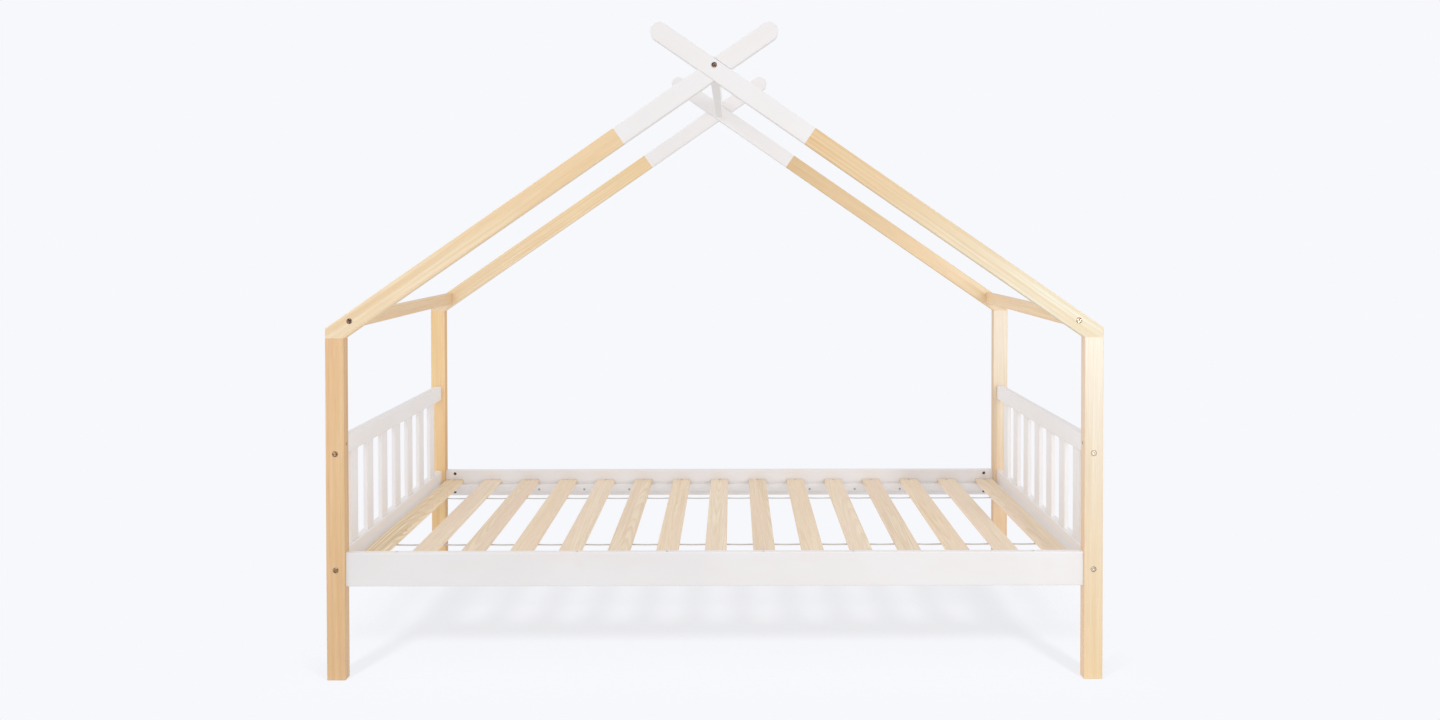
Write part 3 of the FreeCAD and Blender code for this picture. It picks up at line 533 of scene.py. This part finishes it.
FLOOR = tone(0.10, 0.102, 0.106)
FLOOR_REACH, FLOOR_DROP = 9.0, 0.4 * MM
FLOOR_GLOW = 0.78
# Where the floor begins and ends to fade, in metres from the middle of the bed.
FADE_BESIDE, FADE_BEHIND, FADE_BEFORE = (0.985, 1.16), (0.22, 0.60), (-0.38, -0.62)


def make_floor():
    """A pale floor that fades into the studio further out."""
    mesh = bpy.data.meshes.new("Floor")
    turns = ((-1, -1), (1, -1), (1, 1), (-1, 1))
    corners = [(FLOOR_REACH * u, FLOOR_REACH * v, -FLOOR_DROP) for u, v in turns]
    mesh.from_pydata(corners, [], [(0, 1, 2, 3)])
    floor = bpy.data.objects.new("Floor", mesh)
    SCENE.collection.objects.link(floor)
    material, tree, surface = new_material("Floor_paint")
    place = tree.object_place()
    mottle = tree.remap(tree.noise(place, 1.3, 3.0), 0.3, 0.7, 0.995, 1.005)
    body = tree.node("ShaderNodeBsdfPrincipled", {
        "Base Color": tree.times(FLOOR, tree.join(mottle, mottle, mottle)),
        "Roughness": 0.9, "Specular IOR Level": 0.1,
        "Emission Color": BACKDROP, "Emission Strength": FLOOR_GLOW})
    clear = tree.node("ShaderNodeBsdfTransparent")
    x, y, _ = tree.split(place)
    beside = tree.remap(tree.math("ABSOLUTE", x), *FADE_BESIDE, smooth=True)
    behind = tree.remap(y, *FADE_BEHIND, smooth=True)
    before = tree.remap(y, *FADE_BEFORE, smooth=True)
    away = tree.math("MAXIMUM", beside, tree.math("MAXIMUM", behind, before))
    both = tree.ordered("ShaderNodeMixShader", (away, body.outputs[0], clear.outputs[0]))
    tree.feed(surface, both[0])
    mesh.materials.append(material)
    return floor


WHITE, WARM_WHITE = (1.0, 1.0, 1.0), (1.0, 1.0, 0.99)
# Each lamp's name, place, target, size, power and colour.
LAMPS = (
    ("Left", (-1.85, -3.1, 2.4), (0.1, 0.3, 0.9), (0.55, 0.55), 10.0, WARM_WHITE),
    ("Right", (1.84, -3.0, 1.15), (0.6, 0.3, 0.6), (0.36, 1.5), 22.0, WARM_WHITE),
    ("Over", (0.1, -3.2, 4.6), (0.0, 0.0, 0.4), (2.4, 1.6), 6.0, WHITE))

make_camera()
SCENE.view_settings.view_transform = "Standard"
make_world()
for settings in LAMPS:
    make_light(*settings)

# Two lamps light only the floor, for the striped shadow under the slats.
floor_only = bpy.data.collections.new("Floor_only")
floor_only.objects.link(make_floor())
for sign in (-1, 1):
    lamp = make_light(f"Floor_{sign}", (1.85 * sign, -3.1, 2.5), (0.0, 0.0, 0.0),
                      (0.5, 0.5), 150.0, WHITE)
    lamp.light_linking.receiver_collection = floor_only


# ------------------------------------------------------------------- boards

# Where the heart of the tree lies from the middle of the board, in metres.
HEARTS = ((0.030, 0.110), (-0.055, 0.090), (0.070, -0.075), (-0.020, -0.120), (0.012, 0.060))


def wood(index, light, dark, blush, ring=3.0, knots=0.12, spread=0.04, near=1.0,
         lean=(0.006, 0.004), tail=tone(1.0, 1.0, 1.0), start=0.5, end=-0.5):
    """One board's own place in the tree, which its number sets, and its colours.

    The rings are about ring mm wide. The colours are multiplied by the tail, a painted shade,
    from start metres along the grain on, fully so at end.
    """
    heart = HEARTS[index % len(HEARTS)]
    return {
        "Seed": 3.7 + 2.39 * index,
        "Heart": (heart[0] * near, heart[1] * near, 0.0),
        "Lean": (lean[0] * (-1) ** index, lean[1], 0.0),
        "Ring": ring * (0.85 + 0.1 * (index % 4)) * MM,
        "Spread": spread, "Knots": knots,
        "Light": light, "Dark": dark, "Blush": blush,
        "Tail": tail, "Tail start": start, "Tail end": end}


# The light, dark and blush of each kind of board.
GOLDEN = (srgb(243, 211, 164), srgb(226, 184, 130), srgb(238, 194, 150))
# WHEAT and FLAX, on the right posts, are partly wood tone and partly painted highlight: the
# glare on their lacquer.
WHEAT = (srgb(237, 231, 212), srgb(228, 211, 183), srgb(234, 221, 201))
FLAX = (srgb(245, 236, 215), srgb(236, 216, 186), srgb(242, 226, 204))
AMBER = (srgb(251, 225, 174), srgb(240, 201, 142), srgb(248, 211, 162))
STRAW = (srgb(247, 228, 196), srgb(236, 205, 160), srgb(242, 215, 175))
CHAFF = (srgb(235, 228, 206), srgb(225, 205, 169), srgb(231, 215, 184))
HONEY = (srgb(246, 224, 188), srgb(234, 200, 154), srgb(241, 210, 170))
UNDER_PAINT = (srgb(250, 244, 228), srgb(242, 224, 192), srgb(248, 236, 214))
FIGURED = (srgb(246, 230, 202), srgb(216, 186, 146), srgb(236, 212, 180))
SLAT_TONES = (
    (srgb(240, 223, 198), srgb(226, 202, 173), srgb(235, 212, 190)),
    (srgb(243, 225, 200), srgb(230, 206, 174), srgb(237, 215, 190)),
    (srgb(243, 228, 204), srgb(231, 209, 181), srgb(238, 217, 195)))
BEECH = (srgb(222, 188, 146), srgb(204, 164, 120), srgb(214, 176, 134))

# Painted shade of the posts' narrow side faces, which lie in shadow; on the rear posts it is
# a deep shadow band.
TAN_SHADED_SIDE = tone(0.80, 0.76, 0.74)
PINK_SHADED_SIDE = tone(0.95, 0.81, 0.72)
BROWN_SHADED_SIDE = tone(0.78, 0.66, 0.50)
GLOSSY_COAT = 0.6
# The posts have no knots. Their tails are painted shade: each post grows darker towards the
# foot.
SHADED_FOOT = {"knots": 0.0, "start": 0.30, "end": -0.42}
LOW_SHADED_FOOT = {"knots": 0.0, "start": 0.16, "end": -0.42}

lacquered("post_front_left", Z, Y, wood(0, *GOLDEN, tail=tone(0.91, 0.90, 0.86), **SHADED_FOOT),
          TAN_SHADED_SIDE)
lacquered("post_front_right", Z, Y, wood(1, *WHEAT, tail=tone(1.02, 0.85, 0.62), **SHADED_FOOT),
          PINK_SHADED_SIDE, GLOSSY_COAT)
lacquered("post_rear_left", Z, Y, wood(2, *AMBER, tail=tone(0.84, 0.76, 0.67), **LOW_SHADED_FOOT),
          BROWN_SHADED_SIDE)
lacquered("post_rear_right", Z, Y, wood(3, *FLAX, tail=tone(0.94, 0.71, 0.48), **SHADED_FOOT),
          BROWN_SHADED_SIDE, GLOSSY_COAT)

# Each rafter's tones, the painted shade of its upper end (its tail) and the painted light on
# its paint.
RAFTERS = {
    "rafter_front_left": (STRAW, tone(0.94, 0.90, 0.84), 0.0),
    "rafter_front_right": (CHAFF, tone(0.965, 0.756, 0.544), 0.0),
    "rafter_rear_left": (STRAW, tone(0.985, 0.94, 0.83), 0.22),
    "rafter_rear_right": (STRAW, tone(0.84, 0.77, 0.66), 0.22)}
PITCH = math.radians(34.7)
PAINT_X, PAINT_Z = 0.247, 1.403
for index, (node, (tones, shaded_top, painted_light)) in enumerate(RAFTERS.items(), 5):
    sign = 1 if node.endswith("left") else -1
    along = Vector((sign * math.cos(PITCH), 0.0, math.sin(PITCH)))
    low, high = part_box(node)
    middle = (low + high) / 2
    line = Vector((-sign * PAINT_X, 0.0, PAINT_Z))
    paint_from = (line - Vector((middle.x, 0.0, middle.z))).dot(along)
    # The tail is painted shade: the rafter grows darker towards its upper end.
    half_painted(node, along, Y, wood(index, *tones, ring=4.4, near=0.8, knots=0.0,
                                      tail=shaded_top, start=-0.5, end=0.25), paint_from, painted_light)

# An eave beam's tail, a painted shade, covers all of it and darkens the left beam more.
EAVES = {"eave_beam_left": tone(0.87, 0.82, 0.75), "eave_beam_right": tone(0.93, 0.90, 0.85)}
for index, (node, tail) in enumerate(EAVES.items(), 10):
    lacquered(node, Y, Z, wood(index, *HONEY, knots=0.0, ring=3.6, tail=tail,
                               start=1.0, end=0.9))


def is_slat(node):
    return node.startswith("slat_") and node[5:].isdigit()


for index, node in enumerate(sorted(NODES), 20):
    if node.startswith("spindle"):
        # Painted light whitens the spindles' narrow faces.
        painted(node, Z, X, wood(index, *UNDER_PAINT, knots=0.25, spread=0.05),
                painted_light_edges=0.25)
    elif node.startswith(("side_rail", "slat_cleat")):
        painted(node, X, Y, wood(index, *UNDER_PAINT, knots=0.4, spread=0.09))
    elif node.startswith("end_"):
        painted(node, Y, X, wood(index, *UNDER_PAINT, knots=0.4, spread=0.08))
    elif node == "ridge_beam":
        # Painted light whitens the ridge beam's paint.
        painted(node, Y, X, wood(index, *UNDER_PAINT, knots=0.4), painted_light=0.45)
    elif node == "slat_01":
        bare(node, Y, Z, wood(index, *FIGURED, knots=0.0, near=0.2, lean=(0.05, 0.11),
                              ring=6.5))
    elif is_slat(node):
        tones = SLAT_TONES[index % len(SLAT_TONES)]
        bare(node, Y, Z, wood(index, *tones, knots=0.0, near=0.42, lean=(0.010, 0.022)))


# ---------------------------------------------------------------- fasteners

# Light, dark and roughness, and for the bolts the scale and contrast of their clouds.
BRONZE = (srgb(222, 196, 160), srgb(112, 80, 52), 0.20, 190.0, 0.05)
DARK_BRONZE = (srgb(192, 164, 144), srgb(66, 46, 38), 0.20, 190.0, 0.05)
ZINC = (srgb(206, 204, 198), srgb(168, 164, 156), 0.30)
# Zinc darkened by painted shade, for the barrel nuts, which sit in holes.
SHADED_ZINC = (srgb(116, 102, 96), srgb(72, 62, 58), 0.34)
WIRE = (srgb(214, 214, 214), srgb(176, 176, 178), 0.28)

# The panel bolts grow whiter towards the right: painted reflection of the lamp there.
metal("panel_bolts", *BRONZE, pale=0.5)
metal("roof_bolts", *DARK_BRONZE)
metal("rail_bolts", *BRONZE)
# Painted shade darkens the barrel nuts in their holes.
metal("barrel_nuts", *SHADED_ZINC)
metal("slat_screws", *ZINC)
metal("cleat_screws", *ZINC)
metal("webbing_staples", *WIRE)
bare("roof_dowels", Y, Z, wood(90, *BEECH, ring=1.6, knots=0.0))


# ------------------------------------------------------------------ webbing

TAPE_THICK = 0.8 * MM
TAPE_SHARE = 0.98        # of the CAD tape's width
TAPE_GAP = 0.1 * MM      # under the slats
TAPE_SAG = 0.7 * MM
THREADS = 12             # across the tape
THREAD_STEP = 1.2 * MM   # along the tape
THREAD_LIFT = 0.11 * MM
SELVAGE = 0.55           # thickness of the tape's edges, as a share
GRIP = 0.026             # from the middle of a slat to where the tape hangs free


def weave(row, across):
    """The height of a plain weave at a crossing of threads, as a share of its lift."""
    return (-1) ** (row + across)


def slack(x, slats):
    """How far the tape hangs below the slats here."""
    for first, second in zip(slats, slats[1:]):
        start, end = first + GRIP, second - GRIP
        if start < x < end:
            share = (x - start) / (end - start)
            return TAPE_SAG * math.sin(math.pi * share) ** 2
    return 0.0


def make_tape(side, material):
    """A woven tape under the slats, held by a staple at each, with a little slack between."""
    node = f"webbing_{side}"
    low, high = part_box(node)
    middle = (low.y + high.y) / 2
    half = (high.y - low.y) / 2 * TAPE_SHARE
    slats = sorted(sum(c.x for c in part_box(n)) / 2 for n in NODES if is_slat(n))
    rows = int(round((high.x - low.x) / THREAD_STEP))
    ring = 2 * (THREADS + 1)

    points, faces = [], []
    for row in range(rows + 1):
        x = low.x + (high.x - low.x) * row / rows
        centre = high.z - TAPE_THICK / 2 - TAPE_GAP - slack(x, slats)
        for face in (1, -1):
            for column in range(THREADS + 1):
                across = column if face > 0 else THREADS - column
                y = middle + half * (2 * across / THREADS - 1)
                edge = 1.0 if 0 < across < THREADS else SELVAGE
                lift = THREAD_LIFT * weave(row, across) * edge
                points.append((x, y, centre + face * TAPE_THICK / 2 * edge + lift))
    for row in range(rows):
        for column in range(ring):
            here = row * ring + column
            beside = row * ring + (column + 1) % ring
            faces.append((here, beside, beside + ring, here + ring))
    faces.append(tuple(range(ring - 1, -1, -1)))
    faces.append(tuple(rows * ring + i for i in range(ring)))

    mesh = bpy.data.meshes.new(f"Tape_{side}")
    mesh.from_pydata(points, [], faces)
    mesh.polygons.foreach_set("use_smooth", [len(f) == 4 for f in faces])
    mesh.update()
    mesh.materials.append(material)
    tape = bpy.data.objects.new(f"Tape_{side}", mesh)
    SCENE.collection.objects.link(tape)
    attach(tape, "root")
    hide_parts(node)


WARP_STEP, WEFT_STEP = 0.5 * MM, 0.6 * MM
YARN_DARK, YARN_LIGHT = srgb(196, 190, 184), srgb(222, 217, 210)
FUZZ, SOIL = srgb(206, 200, 193), srgb(190, 182, 172)


def tape_material():
    """Greyish yarn with fine threads, fuzz and a little soil."""
    material, tree, surface = new_material("Woven_tape")
    place = tree.object_place()
    x, y, _ = tree.split(place)
    warp = tree.math("SINE", tree.math("MULTIPLY", y, math.pi / WARP_STEP))
    weft = tree.math("SINE", tree.math("MULTIPLY", x, math.pi / WEFT_STEP))
    threads = tree.math("MULTIPLY", warp, weft)
    fuzz = tree.noise(place, 2600.0, 3.0, 0.6)
    soil = tree.noise(place, 24.0, 3.0)
    colour = tree.mix(tree.remap(threads, -1.0, 1.0), YARN_DARK, YARN_LIGHT)
    colour = tree.mix(tree.remap(fuzz, 0.35, 0.7), colour, FUZZ)
    colour = tree.mix(tree.remap(soil, 0.45, 0.75, 0.0, 0.6), colour, SOIL)
    shader(tree, surface, {
        "Base Color": colour, "Roughness": tree.remap(fuzz, 0.3, 0.7, 0.8, 0.95),
        "Normal": bumped(tree, tree.math("ADD", threads, fuzz), 0.08 * MM),
        "Sheen Weight": 0.25, "Sheen Roughness": 0.5, "Specular IOR Level": 0.2})
    return material


TAPE = tape_material()
make_tape("front", TAPE)
make_tape("rear", TAPE)
